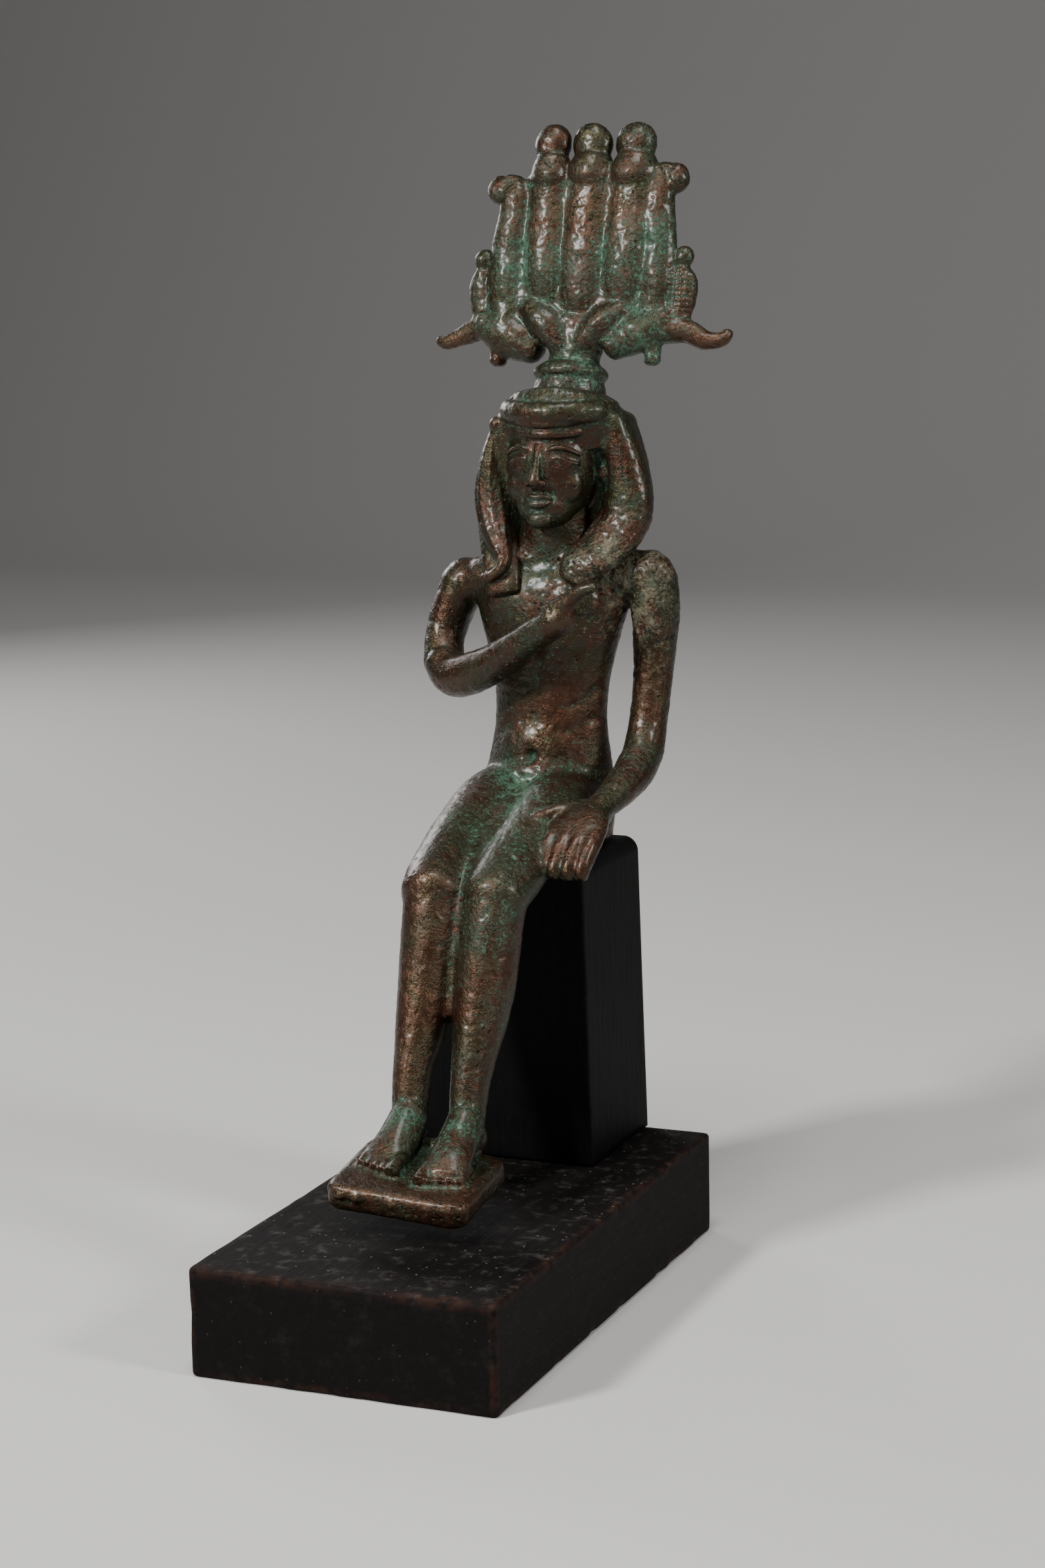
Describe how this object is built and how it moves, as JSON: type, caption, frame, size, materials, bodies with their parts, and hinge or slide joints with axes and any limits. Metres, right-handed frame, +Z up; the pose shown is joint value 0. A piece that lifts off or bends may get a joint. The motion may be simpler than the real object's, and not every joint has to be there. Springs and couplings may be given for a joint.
{
  "type": "egyptian god figurine",
  "caption": "Cast bronze votive figurine of a seated youthful god in headcloth and tall crown, feet on a small plate, on a tapered seat block and a dark wooden plinth.",
  "frame": {"origin": "centre of the plinth's underside", "axes": "+Z up, -Y the way the figure faces, +X the figure's left hand side"},
  "size_m": [0.065, 0.1234, 0.2224],
  "materials": {
    "bronze": "cast bronze with a dark brown patina, satin where rubbed, green corrosion in the recesses",
    "seat_wood": "matt black stained wood",
    "plinth_wood": "matt brown-black stained wood, edges slightly rubbed"
  },
  "bodies": {
    "root": {"figure": "bronze", "seat_block": "seat_wood", "plinth": "plinth_wood"}
  },
  "joints": []
}
